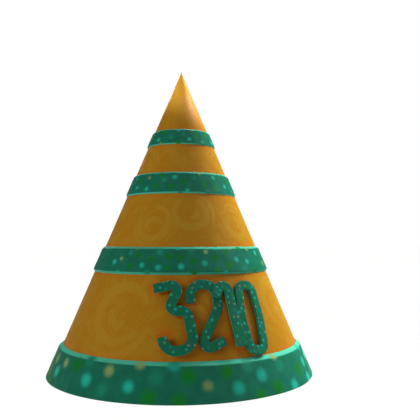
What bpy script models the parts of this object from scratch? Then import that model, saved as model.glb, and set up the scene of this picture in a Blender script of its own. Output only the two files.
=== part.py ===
"""A cone hat for a new year's party, as the separate pieces that it is put together from.

A board cone with a butt seam is wrapped in gold printed paper. Four bevelled bands of dotted foam go round
it, the lowest of them being the brim, and four foam numerals counting down from three stand on pads at the
front.
The front faces -Y, every seam is at the back, and the hat stands on its brim at z = 0.
Run it with: blender --background --python part.py
"""

import math

import bmesh
import bpy
from mathutils import Matrix, Vector

MM = 0.001

# The gold cone, which every other size follows. Stand-off is the distance out from it, square to the wall.
HEIGHT = 178 * MM
HALF_ANGLE = math.radians(22.8)
SLOPE = math.tan(HALF_ANGLE)
GAP = 0.2 * MM

# The layers of the wall: stand-offs of their outer faces, and their thicknesses.
COVER_THICKNESS = 0.35 * MM
BOARD_OUTER = -COVER_THICKNESS - GAP
BOARD_THICKNESS = 1.0 * MM
BOARD_INNER = BOARD_OUTER - BOARD_THICKNESS
LINING_OUTER = BOARD_INNER - 0.25 * MM
TAPE_THICKNESS = 0.2 * MM
SWEATBAND_THICKNESS = 1.2 * MM
SWEATBAND_INNER = LINING_OUTER - SWEATBAND_THICKNESS

# Heights of the edges of those layers.
HEM_BOTTOM = 0.3 * MM
WALL_BOTTOM = 0.8 * MM
HEM_TOP = 6 * MM
SWEATBAND_BOTTOM = 6.4 * MM
SWEATBAND_TOP = 19 * MM
TAPE_TOP = 146 * MM
BOARD_TOP = 164 * MM
COVER_TOP = 174 * MM
PLUG_BOTTOM = 148 * MM

# Each band: its lower and upper edges where it meets the wall, the height of its bevels, and its outer face.
BANDS = {
    "top_band": (130.9 * MM, 140.2 * MM, 0.8 * MM, 0.8 * MM),
    "upper_band": (101.7 * MM, 114.0 * MM, 1.0 * MM, 0.9 * MM),
    "lower_band": (58.3 * MM, 72.5 * MM, 1.3 * MM, 1.25 * MM),
}
BRIM_TOP = 17.9 * MM
BRIM_BEVEL = 1.9 * MM
BRIM_OUTER = 1.9 * MM

# Seams at the back. The wrap overlaps itself, and what lies over the lap is lifted by it.
SEAM_HALF_GAP = 0.15 * MM
LAP = math.radians(7.5)
LAP_RAMP = math.radians(5)
LAP_LIFT = COVER_THICKNESS + 0.15 * MM
TAPE_HALF_WIDTH = 6 * MM
SWEATBAND_HALF_OPENING = 7.5 * MM

COARSE_STEP = math.radians(5)
FINE_STEP = math.radians(2.5)
FINE_ZONE = math.radians(15)

# Numerals: foam shapes lying on the wall, placed in the flat pattern that the cone unrolls to. Its origin is
# the middle of the gold panel that they fill: an azimuth, and a distance down the wall from the tip.
PATTERN_AZIMUTH = math.radians(16.5)
PATTERN_SLANT = (HEIGHT - 38.1 * MM) / math.cos(HALF_ANGLE)
NUMERAL_THICKNESS = 1.4 * MM
STROKE = 4.8 * MM
PAD_WIDTH = 3.2 * MM
PAD_LENGTH = 5 * MM
LOW_PAD = 0.4 * MM
LOW_NUMERAL = GAP + LOW_PAD + GAP
HIGH_NUMERAL = LOW_NUMERAL + NUMERAL_THICKNESS + GAP
PATH_STEP = 2.4 * MM
LEAST_STEP = 0.3 * MM
TURN_STEP = math.radians(18)

# Each numeral: its line, its place on the pattern, whether it lies over its neighbours, and its pads.
NUMERALS = {
    "numeral_three": (
        [
            (-7, 16.4, 0),
            (6.4, 16.4, 2.9),
            (-2.8, 3, 2.9),
            (6.8, 2.4, 4),
            (6.8, -16.6, 6),
            (-7, -16.6, 6),
            (-7, -8.6, 0),
        ],
        (-20.2, 0.4, 4),
        True,
        (0.06, 0.8),
    ),
    "numeral_two": (
        [
            (-6.8, 7.5, 0),
            (-6.8, 16.8, 6.7),
            (6.8, 16.8, 6.7),
            (6.8, 4, 6),
            (-6.6, -18.4, 2.8),
            (8, -12.4, 0),
        ],
        (-4.6, -0.4, 0),
        False,
        (0.2, 0.66),
    ),
    "numeral_one": (
        [(-6.6, 9.2, 0), (1.4, 20.8, 2.7), (0, -17.2, 0)],
        (8.6, 0.7, 8),
        True,
        (0.5, 0.88),
    ),
    "numeral_zero": (
        [
            (-6, 0, 30),
            (-4.6, 17.2, 4.3),
            (4.6, 17.2, 4.3),
            (6, 0, 30),
            (4.6, -17.2, 4.3),
            (-4.6, -17.2, 4.3),
        ],
        (20.6, -0.8, 3),
        False,
        (0.35, 0.72),
    ),
}

# Eyelets for a chin elastic, through cover, board and sweatband, with their flanges under the brim.
EYELET_HEIGHT = 11.5 * MM
EYELET_BORE = 1.7 * MM
EYELET_BARREL = 2.3 * MM
EYELET_HOLE = 2.5 * MM
EYELET_FLANGE = 3.8 * MM
EYELET_METAL = 0.3 * MM
ROLL_RADIUS = 3.1 * MM
WASHER_RADIUS = 4.2 * MM
POCKET_RADIUS = 4.4 * MM
POCKET_DEPTH = 0.75 * MM
TURNED_STEPS = 20
PLUG_STEPS = 36


def clear_scene():
    for thing in list(bpy.data.objects):
        bpy.data.objects.remove(thing)


def material(name, colour, roughness, metallic=0.0):
    made = bpy.data.materials.new(name)
    made.use_nodes = True
    shader = made.node_tree.nodes["Principled BSDF"]
    shader.inputs["Base Color"].default_value = (*colour, 1.0)
    shader.inputs["Roughness"].default_value = roughness
    shader.inputs["Metallic"].default_value = metallic
    return made


def add_object(name, bm, look, sharp_angle=math.radians(30)):
    """Puts a bmesh into the scene as one named object, shaded smooth apart from its sharp edges."""
    bmesh.ops.recalc_face_normals(bm, faces=bm.faces)
    mesh = bpy.data.meshes.new(name)
    bm.to_mesh(mesh)
    bm.free()
    mesh.materials.append(look)
    mesh.shade_smooth()
    mesh.set_sharp_from_angle(angle=sharp_angle)
    made = bpy.data.objects.new(name, mesh)
    bpy.context.scene.collection.objects.link(made)
    return made


def loft(name, sections, look, closed=False):
    """One solid through a row of matching outlines, capped at both ends or joined in a ring."""
    bm = bmesh.new()
    rows = [[bm.verts.new(point) for point in section] for section in sections]
    following = rows[1:] + rows[:1] if closed else rows[1:]
    for here, there in zip(rows, following):
        for i in range(len(here)):
            j = (i + 1) % len(here)
            bm.faces.new((here[i], here[j], there[j], there[i]))
    if not closed:
        bm.faces.new(rows[0])
        bm.faces.new(rows[-1])
    return add_object(name, bm, look)


def wall_radius(z, standoff):
    return SLOPE * (HEIGHT - z) + standoff / math.cos(HALF_ANGLE)


def wall_point(azimuth, z, standoff):
    """A point at height z and that stand-off from the gold cone. Azimuth 0 is the front, positive to +X."""
    radius = wall_radius(z, standoff)
    return Vector((radius * math.sin(azimuth), -radius * math.cos(azimuth), z))


def smooth_step(share):
    share = min(max(share, 0.0), 1.0)
    return share * share * (3 - 2 * share)


def seam_lift(azimuth):
    """How far the lap of the wrap, which runs from -pi to -pi + LAP, lifts what is wound over it."""
    rising = smooth_step((azimuth - math.pi + LAP_RAMP) / LAP_RAMP)
    past_lap = azimuth + math.pi - LAP - FINE_STEP
    falling = 1 - smooth_step(past_lap / LAP_RAMP) if azimuth < 0 else 0.0
    return LAP_LIFT * max(rising, falling)


def azimuths(start=-math.pi, end=math.pi):
    """Directions from start to end, closer together at the back, where the lap and the seams are."""
    found = [start]
    while found[-1] < end - FINE_STEP / 2:
        near_back = math.pi - abs(found[-1]) < FINE_ZONE - FINE_STEP / 2
        leaving = found[-1] > 0 and math.pi - found[-1] < FINE_ZONE + FINE_STEP / 2
        found.append(found[-1] + (FINE_STEP if near_back or leaving else COARSE_STEP))
    found[-1] = end
    return found


def strip(name, outline, look, half_gap=SEAM_HALF_GAP, lifts=None):
    """A strip bent round the cone, its two ends facing at the back. The outline is (z, stand-off) points."""
    lifts = lifts or [0.0] * len(outline)
    sections = []
    for azimuth in azimuths():
        section = []
        for (z, standoff), share in zip(outline, lifts):
            most = math.pi - math.asin(half_gap / wall_radius(z, standoff))
            kept = min(max(azimuth, -most), most)
            section.append(wall_point(kept, z, standoff + share * seam_lift(azimuth)))
        sections.append(section)
    return loft(name, sections, look)


def open_strip(name, outline, look, half_opening):
    """A strip that stops short of the back seam by half_opening on each side."""
    least = min(wall_radius(z, standoff) for z, standoff in outline)
    end = math.pi - math.asin(half_opening / least)
    steps = round(2 * end / COARSE_STEP)
    turns = [end * (2 * i / steps - 1) for i in range(steps + 1)]
    sections = [[wall_point(turn, z, standoff) for z, standoff in outline] for turn in turns]
    return loft(name, sections, look)


def cone_board(look):
    outline = [
        (WALL_BOTTOM, BOARD_OUTER),
        (BOARD_TOP, BOARD_OUTER),
        (BOARD_TOP, BOARD_INNER),
        (WALL_BOTTOM, BOARD_INNER),
    ]
    return strip("cone_board", outline, look)


def gold_cover(look):
    """The wrap: once round from the back, then over its own start by the lap."""
    outline = [
        (WALL_BOTTOM, 0.0),
        (COVER_TOP, 0.0),
        (COVER_TOP, -COVER_THICKNESS),
        (WALL_BOTTOM, -COVER_THICKNESS),
    ]
    turns = azimuths()
    turns += [math.pi + FINE_STEP * (i + 1) for i in range(round(LAP / FINE_STEP))]
    sections = []
    for turn in turns:
        lift = LAP_LIFT * smooth_step((turn - math.pi + LAP_RAMP) / LAP_RAMP)
        sections.append([wall_point(turn, z, standoff + lift) for z, standoff in outline])
    return loft("gold_cover", sections, look)


def seam_tape(look):
    """A straight tape down the inside of the board, over its butt seam."""
    sections = []
    for z in (WALL_BOTTOM + GAP + HEM_TOP, TAPE_TOP):
        across = TAPE_HALF_WIDTH / wall_radius(z, LINING_OUTER)
        turns = [math.pi + across * share for share in (-1, -0.5, 0, 0.5, 1)]
        outer = [wall_point(turn, z, LINING_OUTER) for turn in turns]
        inner = [wall_point(turn, z, LINING_OUTER - TAPE_THICKNESS) for turn in reversed(turns)]
        sections.append(outer + inner)
    return loft("seam_tape", sections, look)


def hem_tape(look):
    """An L of tape that closes the cut edges at the mouth: under the wall, then up its inside."""
    inner = LINING_OUTER - TAPE_THICKNESS
    outline = [
        (HEM_BOTTOM, 0.0),
        (HEM_BOTTOM + TAPE_THICKNESS, 0.0),
        (HEM_BOTTOM + TAPE_THICKNESS, LINING_OUTER),
        (HEM_TOP, LINING_OUTER),
        (HEM_TOP, inner),
        (HEM_BOTTOM, inner),
    ]
    return strip("hem_tape", outline, look)


def sweatband(look):
    soft = 0.4 * MM
    outline = [
        (SWEATBAND_BOTTOM, LINING_OUTER),
        (SWEATBAND_TOP, LINING_OUTER),
        (SWEATBAND_TOP, SWEATBAND_INNER + soft),
        (SWEATBAND_TOP - soft, SWEATBAND_INNER),
        (SWEATBAND_BOTTOM + soft, SWEATBAND_INNER),
        (SWEATBAND_BOTTOM, SWEATBAND_INNER + soft),
    ]
    return open_strip("sweatband", outline, look, SWEATBAND_HALF_OPENING)


def foam_band(name, look):
    """A foam strip with both edges bevelled. It rides over the lap of the wrap."""
    bottom, top, bevel, outer = BANDS[name]
    outline = [(bottom, GAP), (top, GAP), (top - bevel, outer), (bottom + bevel, outer)]
    return strip(name, outline, look, lifts=[1, 1, 1, 1])


def brim(look):
    """The thickest band, flat below. Its foam gives over the lap, so its outer face stays round."""
    outline = [(0.0, GAP), (BRIM_TOP, GAP), (BRIM_TOP - BRIM_BEVEL, BRIM_OUTER), (0.0, BRIM_OUTER)]
    return strip("brim", outline, look, lifts=[1, 1, 0, 0])


def turned(name, profile, look, steps):
    """A solid turned about Z from (radius, z) points: a closed outline, or one from the axis to the axis."""
    bm = bmesh.new()
    on_axis = profile[0][0] == 0.0
    points = [bm.verts.new((radius, 0.0, z)) for radius, z in profile]
    edges = [bm.edges.new(pair) for pair in zip(points, points[1:])]
    if not on_axis:
        edges.append(bm.edges.new((points[-1], points[0])))
    bmesh.ops.spin(
        bm,
        geom=points + edges,
        cent=(0, 0, 0),
        axis=(0, 0, 1),
        angle=2 * math.pi,
        steps=steps,
        use_merge=True,
    )
    bmesh.ops.remove_doubles(bm, verts=bm.verts, dist=0.001 * MM)
    return add_object(name, bm, look)


def tip_plug(look):
    """The point of the hat: bare at the top, then inside the wrap, then inside the board."""
    under_cover = -COVER_THICKNESS - GAP
    shoulder = COVER_TOP + GAP
    neck = BOARD_TOP + GAP
    profile = [
        (0.0, HEIGHT),
        (wall_radius(shoulder, 0.0), shoulder),
        (wall_radius(shoulder, under_cover), shoulder),
        (wall_radius(neck, under_cover), neck),
        (wall_radius(neck, LINING_OUTER), neck),
        (wall_radius(PLUG_BOTTOM, LINING_OUTER), PLUG_BOTTOM),
        (0.0, PLUG_BOTTOM),
    ]
    return turned("tip_plug", profile, look, PLUG_STEPS)


def eyelet_place(side):
    """The frame of an eyelet: its origin on the gold cone and its Z out along the wall's normal."""
    normal = Vector((side * math.cos(HALF_ANGLE), 0.0, math.sin(HALF_ANGLE)))
    spin = Vector((0, 0, 1)).rotation_difference(normal).to_matrix().to_4x4()
    return Matrix.Translation(wall_point(side * math.pi / 2, EYELET_HEIGHT, 0.0)) @ spin


def eyelet(side, word, look):
    """A flanged tube whose inner end is rolled over the washer."""
    roll = SWEATBAND_INNER - 1.0 * MM
    profile = [
        (EYELET_BORE, GAP + EYELET_METAL),
        (EYELET_FLANGE, GAP + EYELET_METAL),
        (EYELET_FLANGE, GAP),
        (EYELET_BARREL, GAP),
        (EYELET_BARREL, roll),
        (ROLL_RADIUS, roll),
        (ROLL_RADIUS, roll - EYELET_METAL),
        (EYELET_BORE, roll - EYELET_METAL),
    ]
    made = turned("eyelet_" + word, profile, look, TURNED_STEPS)
    made.matrix_world = eyelet_place(side)


def eyelet_washer(side, word, look):
    face = SWEATBAND_INNER - 0.35 * MM
    profile = [
        (EYELET_HOLE, face),
        (WASHER_RADIUS, face),
        (WASHER_RADIUS, face - EYELET_METAL),
        (EYELET_HOLE, face - EYELET_METAL),
    ]
    made = turned("eyelet_washer_" + word, profile, look, TURNED_STEPS)
    made.matrix_world = eyelet_place(side)


def cut(target, radius, low, high, place):
    """Takes a round cutter out of target, from low to high along its axis."""
    bm = bmesh.new()
    bmesh.ops.create_cone(
        bm,
        cap_ends=True,
        segments=TURNED_STEPS,
        radius1=radius,
        radius2=radius,
        depth=high - low,
        matrix=Matrix.Translation((0, 0, (low + high) / 2)),
    )
    cutter = add_object(f"cutter_{len(bpy.data.objects)}", bm, target.data.materials[0])
    cutter.matrix_world = place
    cutter.hide_render = True
    cutter.display_type = "WIRE"
    modifier = target.modifiers.new("eyelet hole", "BOOLEAN")
    modifier.object = cutter
    modifier.operation = "DIFFERENCE"
    modifier.solver = "EXACT"


def rounded_path(corners, closed=False):
    """Points along a line with rounded corners, from (x, y, corner radius) in millimetres."""
    count = len(corners)
    path = []
    for i, (x, y, radius) in enumerate(corners):
        here = Vector((x, y)) * MM
        if not closed and i in (0, count - 1):
            path.append(here)
            continue
        back = (Vector(corners[i - 1][:2]) * MM - here).normalized()
        ahead = (Vector(corners[(i + 1) % count][:2]) * MM - here).normalized()
        half = back.angle(ahead) / 2
        reach = radius * MM / math.tan(half)
        centre = here + (back + ahead).normalized() * (radius * MM / math.sin(half))
        first = here + back * reach - centre
        turn = (math.pi - 2 * half) * (1 if back.cross(ahead) < 0 else -1)
        steps = max(2, math.ceil(abs(turn) / TURN_STEP))
        for k in range(steps + 1):
            path.append(centre + Matrix.Rotation(turn * k / steps, 2) @ first)
    return fill_straights(path, closed)


def fill_straights(path, closed):
    """The same path with its points evened out: one fewer where two meet, and more on long stretches."""
    filled = []
    ends = path[1:] + path[:1] if closed else path[1:]
    for here, there in zip(path, ends):
        distance = (there - here).length
        if distance > LEAST_STEP:
            pieces = math.ceil(distance / PATH_STEP)
            filled += [here.lerp(there, k / pieces) for k in range(pieces)]
    return filled if closed else filled + [path[-1]]


def on_pattern(point, place):
    """Turns and moves a numeral's point to its place on the flat pattern: (across, up, turn in degrees)."""
    across, up, turn = place
    return Matrix.Rotation(math.radians(turn), 2) @ point + Vector((across, up)) * MM


def on_wall(point, standoff):
    """Rolls a point of the flat pattern onto the cone, at that stand-off."""
    below_apex = PATTERN_SLANT - point.y
    slant = math.hypot(point.x, below_apex)
    azimuth = PATTERN_AZIMUTH + math.atan2(point.x, below_apex) / math.sin(HALF_ANGLE)
    radius = slant * math.sin(HALF_ANGLE) + standoff * math.cos(HALF_ANGLE)
    z = HEIGHT - slant * math.cos(HALF_ANGLE) + standoff * math.sin(HALF_ANGLE)
    return Vector((radius * math.sin(azimuth), -radius * math.cos(azimuth), z))


def ribbon(name, path, place, width, low, high, look, closed=False):
    """Foam of one width along a path, bent to the wall, from stand-off low to high."""
    count = len(path)
    sections = []
    for i, point in enumerate(path):
        before = path[i - 1] if closed or i > 0 else point
        after = path[(i + 1) % count] if closed or i < count - 1 else point
        along = (after - before).normalized()
        side = Vector((-along.y, along.x))
        flat = [on_pattern(point + side * width * share, place) for share in (-1 / 2, -1 / 6, 1 / 6, 1 / 2)]
        section = [on_wall(spot, high) for spot in flat]
        section += [on_wall(spot, low) for spot in reversed(flat)]
        sections.append(section)
    return loft(name, sections, look, closed)


def numeral(name, foam, adhesive):
    """One numeral, with two pads behind it that hold it to the wall."""
    corners, place, raised, pads = NUMERALS[name]
    closed = corners[0][2] > 0
    path = rounded_path(corners, closed)
    base = HIGH_NUMERAL if raised else LOW_NUMERAL
    ribbon(name, path, place, STROKE, base, base + NUMERAL_THICKNESS, foam, closed)
    for share, word in zip(pads, ("a", "b")):
        middle = path[round(share * (len(path) - 1))]
        first = next(i for i, point in enumerate(path) if (point - middle).length < PAD_LENGTH / 2)
        stretch = [point for point in path[first:] if (point - middle).length < PAD_LENGTH / 2]
        ribbon(f"pad_{name}_{word}", stretch, place, PAD_WIDTH, GAP, base - GAP, adhesive)


def build():
    clear_scene()
    board = material("greyboard", (0.38, 0.34, 0.27), 0.85)
    gold = material("gold_paper", (0.31, 0.153, 0.0125), 0.5)
    foam = material("teal_foam", (0.0075, 0.118, 0.073), 0.6)
    felt = material("felt", (0.72, 0.68, 0.57), 0.95)
    tape = material("white_tape", (0.85, 0.84, 0.80), 0.6)
    brass = material("brass", (0.80, 0.58, 0.25), 0.3, 1.0)
    adhesive = material("adhesive_foam", (0.022, 0.060, 0.046), 0.7)

    shell = cone_board(board)
    cover = gold_cover(gold)
    seam_tape(tape)
    hem_tape(tape)
    lining = sweatband(felt)
    tip_plug(gold)
    for name in BANDS:
        foam_band(name, foam)
    rim = brim(foam)
    for side, word in ((-1, "left"), (1, "right")):
        place = eyelet_place(side)
        eyelet(side, word, brass)
        eyelet_washer(side, word, brass)
        for layer in (shell, cover, lining):
            cut(layer, EYELET_HOLE, SWEATBAND_INNER - 1 * MM, GAP / 2, place)
        cut(rim, POCKET_RADIUS, -0.5 * MM, POCKET_DEPTH, place)
    for name in NUMERALS:
        numeral(name, foam, adhesive)


build()
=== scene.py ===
"""How the cone party hat looks: paper, foam, felt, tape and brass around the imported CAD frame."""

import math

import bmesh
import bpy
import numpy as np
from mathutils import Matrix, Vector


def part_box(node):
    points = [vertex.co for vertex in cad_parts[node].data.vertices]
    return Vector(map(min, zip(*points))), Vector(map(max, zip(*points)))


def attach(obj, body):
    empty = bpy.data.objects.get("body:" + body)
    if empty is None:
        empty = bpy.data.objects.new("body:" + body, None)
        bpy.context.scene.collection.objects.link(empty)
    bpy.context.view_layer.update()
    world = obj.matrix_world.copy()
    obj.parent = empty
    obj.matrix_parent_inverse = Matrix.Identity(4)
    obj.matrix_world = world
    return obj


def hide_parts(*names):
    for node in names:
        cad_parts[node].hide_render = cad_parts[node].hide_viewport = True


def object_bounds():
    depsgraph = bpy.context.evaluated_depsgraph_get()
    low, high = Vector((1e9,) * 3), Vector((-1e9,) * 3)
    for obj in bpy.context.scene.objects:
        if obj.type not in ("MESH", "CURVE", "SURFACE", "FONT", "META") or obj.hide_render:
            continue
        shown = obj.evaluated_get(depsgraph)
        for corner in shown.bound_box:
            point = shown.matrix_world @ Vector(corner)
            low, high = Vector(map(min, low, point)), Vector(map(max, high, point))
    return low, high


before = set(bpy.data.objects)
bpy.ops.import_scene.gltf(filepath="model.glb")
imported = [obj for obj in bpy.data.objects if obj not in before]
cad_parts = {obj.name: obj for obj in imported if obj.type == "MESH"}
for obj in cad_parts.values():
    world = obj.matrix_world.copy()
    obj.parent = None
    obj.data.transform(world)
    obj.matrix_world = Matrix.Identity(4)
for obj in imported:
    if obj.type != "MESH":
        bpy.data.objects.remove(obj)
cad_low, cad_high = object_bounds()

MM = 0.001

# The cone that everything follows, and the layers of its wall, as they are in the CAD.
HEIGHT = cad_high.z
HALF_ANGLE = math.radians(22.8)
SLOPE = math.tan(HALF_ANGLE)
GAP = 0.2 * MM
COVER_THICKNESS = 0.35 * MM
BOARD_OUTER = -COVER_THICKNESS - GAP
BOARD_INNER = BOARD_OUTER - 1.0 * MM
LINING_OUTER = BOARD_INNER - 0.25 * MM
TAPE_THICKNESS = 0.2 * MM
SWEATBAND_INNER = LINING_OUTER - 1.2 * MM

# Seams at the back.
SEAM_HALF_GAP = 0.15 * MM
LAP = math.radians(7.5)
LAP_RAMP = math.radians(5)
LAP_MARGIN = math.radians(2.5)
LAP_LIFT = COVER_THICKNESS + 0.15 * MM
TAPE_HALF_WIDTH = 6 * MM
SWEATBAND_HALF_OPENING = 7.5 * MM

# Numerals.
NUMERAL_THICKNESS = 1.4 * MM
NUMERAL_STEP = 0.5 * MM
NUMERAL_DOT = 0.74 * MM
NUMERAL_DOT_SPACING = 1.9 * MM
NUMERAL_SOFT_END = 0.26 * MM
PAD_WIDTH = 3.2 * MM
PAD_LENGTH = 4.8 * MM
PAD_FILM = 0.06 * MM
STROKE = 4.8 * MM
LOW_NUMERAL = 0.8 * MM
HIGH_NUMERAL = LOW_NUMERAL + NUMERAL_THICKNESS + GAP
PATTERN_AZIMUTH = math.radians(16.5)
PATTERN_SLANT = (HEIGHT - 38.1 * MM) / math.cos(HALF_ANGLE)

# Eyelets.
EYELET_HEIGHT = 11.5 * MM
EYELET_BORE = 1.7 * MM
EYELET_BARREL = 2.3 * MM
EYELET_HOLE = 2.5 * MM
EYELET_FLANGE = 3.8 * MM
EYELET_METAL = 0.3 * MM
ROLL_RADIUS = 3.1 * MM
WASHER_RADIUS = 4.2 * MM

# How many steps the long pieces take round, and the seam tape and the paper take up and across.
COVER_STEPS, LAP_STEPS, COVER_ROWS, COVER_INNER_ROWS = 480, 20, 170, 24
BOARD_STEPS, FELT_STEPS, MOUTH_TAPE_STEPS, BRIM_STEPS = 360, 560, 900, 640
SEAM_TAPE_ROWS, SEAM_TAPE_COLUMNS = 160, 17
ROUND_STEPS, TIP_STEPS = 72, 96

# How softly meshes are shaded, and how thin a sliver of a face is dropped.
SHARP_ANGLE = math.radians(35)
SLIVER = 0.004 * MM


# ---------------------------------------------------------------- shapes


def wall_radius(z, standoff):
    return SLOPE * (HEIGHT - z) + standoff / math.cos(HALF_ANGLE)


def wall(azimuth, z, standoff):
    """Points at height z and a stand-off from the gold cone. Azimuth 0 is the front, then to +X."""
    azimuth, z, standoff = np.broadcast_arrays(azimuth, z, standoff)
    radius = wall_radius(z, standoff)
    return np.stack([radius * np.sin(azimuth), -radius * np.cos(azimuth), z], axis=-1)


def smooth_step(share):
    share = np.clip(share, 0.0, 1.0)
    return share * share * (3 - 2 * share)


def seam_lift(azimuth):
    """How far the lap of the wrap lifts what is wound over it."""
    rising = smooth_step((azimuth - math.pi + LAP_RAMP) / LAP_RAMP)
    falling = 1 - smooth_step((azimuth + math.pi - LAP - LAP_MARGIN) / LAP_RAMP)
    return LAP_LIFT * np.maximum(rising, np.where(azimuth < 0, falling, 0.0))


def ripple(turn, seed, lowest=2, highest=9):
    """A smooth random wave round the hat, mostly within -1 to 1."""
    draw = np.random.RandomState(seed)
    total = np.zeros_like(np.asarray(turn, dtype=float))
    for order in range(lowest, highest + 1):
        total = total + draw.uniform(-1, 1) * np.sin(order * turn + draw.uniform(0, 2 * math.pi))
    return total / math.sqrt(highest - lowest + 1)


def rounded(corners, steps_for):
    """Points along (x, y, radius) corners, each turned in steps_for(angle, radius) steps."""
    points = []
    for i, (*here, radius) in enumerate(corners):
        if radius == 0:
            points.append(np.array(here))
            continue
        back = np.array(corners[i - 1][:2]) - here
        ahead = np.array(corners[(i + 1) % len(corners)][:2]) - here
        back, ahead = back / np.linalg.norm(back), ahead / np.linalg.norm(ahead)
        half = math.acos(np.clip(back @ ahead, -1, 1)) / 2
        reach = radius / math.tan(half)
        centre = here + (back + ahead) / np.linalg.norm(back + ahead) * radius / math.sin(half)
        first, last = here + back * reach - centre, here + ahead * reach - centre
        turn = math.pi - 2 * half
        steps = steps_for(turn, radius)
        for k in range(steps + 1):
            share = k / steps
            weights = math.sin((1 - share) * turn), math.sin(share * turn)
            points.append(centre + (first * weights[0] + last * weights[1]) / math.sin(turn))
    return points


def outline_points(corners, step):
    """Points round an outline of (z, stand-off, corner radius), no further apart than step."""
    points = rounded(corners, lambda turn, _: max(2, math.ceil(turn / math.radians(22))))
    filled = []
    for here, there in zip(points, points[1:] + points[:1]):
        pieces = max(1, math.ceil(np.linalg.norm(there - here) / step))
        filled += [here + (there - here) * k / pieces for k in range(pieces)]
    return np.array(filled)


def make_mesh(name, points, faces, look, fields=None, flat=None):
    """One smooth-shaded object, with values at its points and its flat pattern as a UV map."""
    mesh = bpy.data.meshes.new(name)
    mesh.from_pydata(np.asarray(points).reshape(-1, 3).tolist(), [], faces)
    for field, values in (fields or {}).items():
        values = np.asarray(values, dtype=np.float32)
        if values.ndim == 1:
            mesh.attributes.new(field, "FLOAT", "POINT").data.foreach_set("value", values)
        else:
            colours = np.c_[values, np.ones(len(values), np.float32)].astype(np.float32)
            layer = mesh.attributes.new(field, "FLOAT_COLOR", "POINT")
            layer.data.foreach_set("color", colours.ravel())
    if flat is not None:
        corners = np.empty(len(mesh.loops), dtype=np.int32)
        mesh.loops.foreach_get("vertex_index", corners)
        layer = mesh.uv_layers.new(name="flat")
        layer.data.foreach_set("uv", np.asarray(flat, dtype=np.float32)[corners].ravel())
    bm = bmesh.new()
    bm.from_mesh(mesh)
    bmesh.ops.recalc_face_normals(bm, faces=bm.faces)
    bm.to_mesh(mesh)
    bm.free()
    mesh.shade_smooth()
    mesh.set_sharp_from_angle(angle=SHARP_ANGLE)
    mesh.materials.append(look)
    made = bpy.data.objects.new(name, mesh)
    bpy.context.scene.collection.objects.link(made)
    return made


def quads_between(rings):
    """Faces between each ring of point numbers and the next: an array of (ring, place, corner)."""
    here, there = rings[:-1], rings[1:]
    return np.stack([here, np.roll(here, -1, axis=1), np.roll(there, -1, axis=1), there], axis=-1)


def sweep(name, sections, look, closed=False, **extra):
    """One solid through a row of closed outlines: sections is an array of (outline, point, xyz)."""
    count, size = sections.shape[:2]
    rings = np.arange(count * size).reshape(count, size)
    quads = quads_between(np.r_[rings, rings[:1]] if closed else rings)
    faces = quads.reshape(-1, 4).tolist()
    if not closed:
        faces += [rings[0].tolist(), rings[-1][::-1].tolist()]
    return make_mesh(name, sections, faces, look, **extra)


def turned(profile, steps, place=Matrix.Identity(4)):
    """The sections of a solid turned about Z from (radius, z) points."""
    sections = []
    for turn in (2 * math.pi * k / steps for k in range(steps)):
        x, y = math.cos(turn), math.sin(turn)
        sections.append([place @ Vector((radius * x, radius * y, z)) for radius, z in profile])
    return np.array(sections)


def unrolled(azimuth, z):
    """Where the wall lies on the pattern that it unrolls to, in millimetres from the tip."""
    slant = (HEIGHT - z) / math.cos(HALF_ANGLE) / MM
    turn = azimuth * math.sin(HALF_ANGLE)
    return np.stack([slant * np.sin(turn), -slant * np.cos(turn)], axis=-1)


# ---------------------------------------------------------------- materials


def add(tree, kind, values=None, **settings):
    """A shader node with its inputs set or linked."""
    node = tree.nodes.new("ShaderNode" + kind)
    for key, value in settings.items():
        setattr(node, key, value)
    for key, value in (values or {}).items():
        if isinstance(value, bpy.types.NodeSocket):
            tree.links.new(value, node.inputs[key])
        else:
            node.inputs[key].default_value = value
    return node


def mix(tree, share, first, second, blend="MIX"):
    """Mixes two colours, each a socket or three numbers."""
    values = {0: share}
    for key, colour in ((6, first), (7, second)):
        values[key] = colour if isinstance(colour, bpy.types.NodeSocket) else (*colour, 1.0)
    return add(tree, "Mix", values, data_type="RGBA", blend_type=blend).outputs[2]


def ranged(tree, value, low, high, to_low=0.0, to_high=1.0, smooth=True):
    kind = "SMOOTHSTEP" if smooth else "LINEAR"
    values = {"Value": value, "From Min": low, "From Max": high}
    values.update({"To Min": to_low, "To Max": to_high})
    return add(tree, "MapRange", values, interpolation_type=kind).outputs["Result"]


def maths(tree, operation, first, second=0.0):
    return add(tree, "Math", {0: first, 1: second}, operation=operation).outputs[0]


def in_object(tree):
    """Each point's place in metres, which stays the same whatever the view."""
    return add(tree, "TexCoord").outputs["Object"]


def noise(tree, scale, detail=3.0, vector=None, roughness=0.5):
    values = {"Scale": scale, "Detail": detail, "Roughness": roughness}
    values["Vector"] = vector or in_object(tree)
    return add(tree, "TexNoise", values).outputs["Fac"]


def patches(tree, scale, detail=3.0, low=0.3, high=0.7, to_low=0.0, to_high=1.0):
    """Soft random patches, from to_low to to_high."""
    return ranged(tree, noise(tree, scale, detail), low, high, to_low, to_high)


def cells(tree, scale):
    """The distance to the nearest of the points strewn through the material."""
    return add(tree, "TexVoronoi", {"Scale": scale, "Vector": in_object(tree)}).outputs["Distance"]


def painted(tree, name, output="Fac"):
    """A value or colour that the mesh carries at its points."""
    return add(tree, "Attribute", attribute_name=name).outputs[output]


def bump(tree, height, distance, strength=1.0, normal=None):
    values = {"Height": height, "Distance": distance, "Strength": strength}
    if normal is not None:
        values["Normal"] = normal
    return add(tree, "Bump", values).outputs["Normal"]


def new_look(name, **constants):
    """A material and its node tree, with what is the same all over set on the shader itself."""
    look = bpy.data.materials.new(name)
    look.use_nodes = True
    shader = look.node_tree.nodes["Principled BSDF"]
    for key, value in constants.items():
        shader.inputs[key.replace("_", " ")].default_value = value
    return look, look.node_tree


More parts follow.
